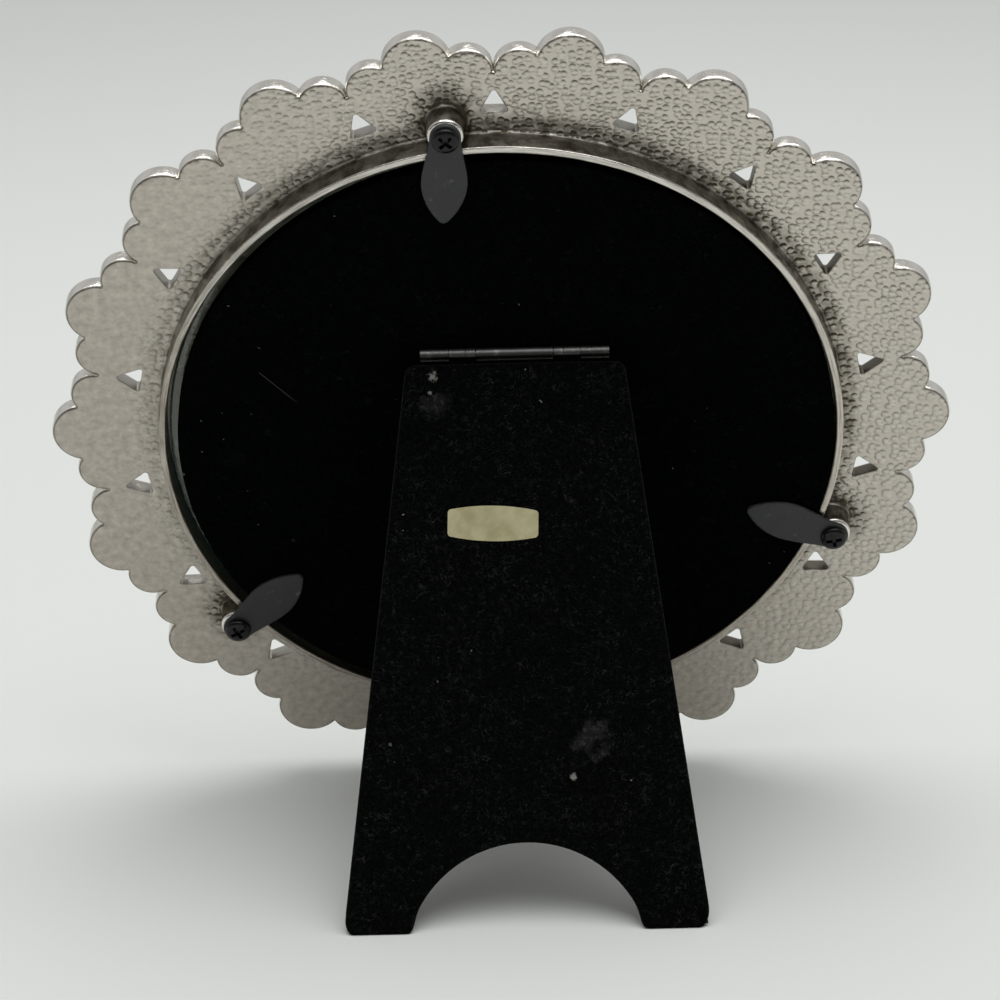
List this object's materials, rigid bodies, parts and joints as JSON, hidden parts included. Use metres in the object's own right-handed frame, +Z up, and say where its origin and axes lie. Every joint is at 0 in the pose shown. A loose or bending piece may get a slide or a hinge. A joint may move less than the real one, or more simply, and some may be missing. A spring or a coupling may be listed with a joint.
{
  "type": "round table photo frame",
  "caption": "Round cast-metal table photo frame with a scalloped, pierced border, glass, velvet-covered backing held by turn buttons, and a hinged velvet easel leg.",
  "frame": {"origin": "on the surface it stands on, under the middle of its width and of its depth", "axes": "+Z up, -Y the picture side, +Y the leg side, +X to the left of someone looking at the back. Left and right in names are as seen from behind"},
  "size_m": [0.1376, 0.0648, 0.1311],
  "materials": {
    "cast_metal": "cast pewter-like zinc alloy, pebbled back, tumbled bright edges",
    "glass": "clear float glass with ground edge",
    "card": "plain uncoated card",
    "lining_paper": "plain grey paper",
    "fibreboard": "raw fibreboard",
    "velvet": "black flocked velvet",
    "leg_lining": "thin black flocked lining",
    "hinge_steel": "satin black sheet steel and wire",
    "rivet_steel": "plain steel",
    "label_paper": "cream paper with a faint sheen, blank",
    "button_paint": "matte charcoal painted sheet metal",
    "screw_black": "black oxide steel"
  },
  "bodies": {
    "frame": {"frame_casting": "cast_metal", "glass_disc": "glass", "photo_card": "card", "board_lining": "lining_paper", "backing_board": "fibreboard", "backing_velvet": "velvet", "board_hinge_leaf": "hinge_steel", "board_hinge_rivets": "rivet_steel", "hinge_pin": "hinge_steel", "button_screw_top": "screw_black", "button_screw_left": "screw_black", "button_screw_right": "screw_black"},
    "leg": {"leg_board": "fibreboard", "leg_velvet": "velvet", "leg_lining": "leg_lining", "leg_hinge_leaf": "hinge_steel", "leg_hinge_rivets": "rivet_steel", "blank_label": "label_paper"},
    "top_button": {"turn_button_top": "button_paint"},
    "left_button": {"turn_button_left": "button_paint"},
    "right_button": {"turn_button_right": "button_paint"}
  },
  "joints": [
    {"name": "leg_hinge", "type": "hinge", "parent": "frame", "child": "leg", "pos_m": [-0.00225, -0.00175, 0.07938], "axis": [1, 0, 0], "range_deg": [-37, 0]},
    {"name": "top_button_swivel", "type": "hinge", "parent": "frame", "child": "top_button", "pos_m": [0.00713, 0.00904, 0.11585], "axis": [0, 0.9604, -0.2787], "continuous": true},
    {"name": "left_button_swivel", "type": "hinge", "parent": "frame", "child": "left_button", "pos_m": [0.04213, -0.01573, 0.03051], "axis": [0, 0.9604, -0.2787], "continuous": true},
    {"name": "right_button_swivel", "type": "hinge", "parent": "frame", "child": "right_button", "pos_m": [-0.05114, -0.01138, 0.0455], "axis": [0, 0.9604, -0.2787], "continuous": true}
  ]
}
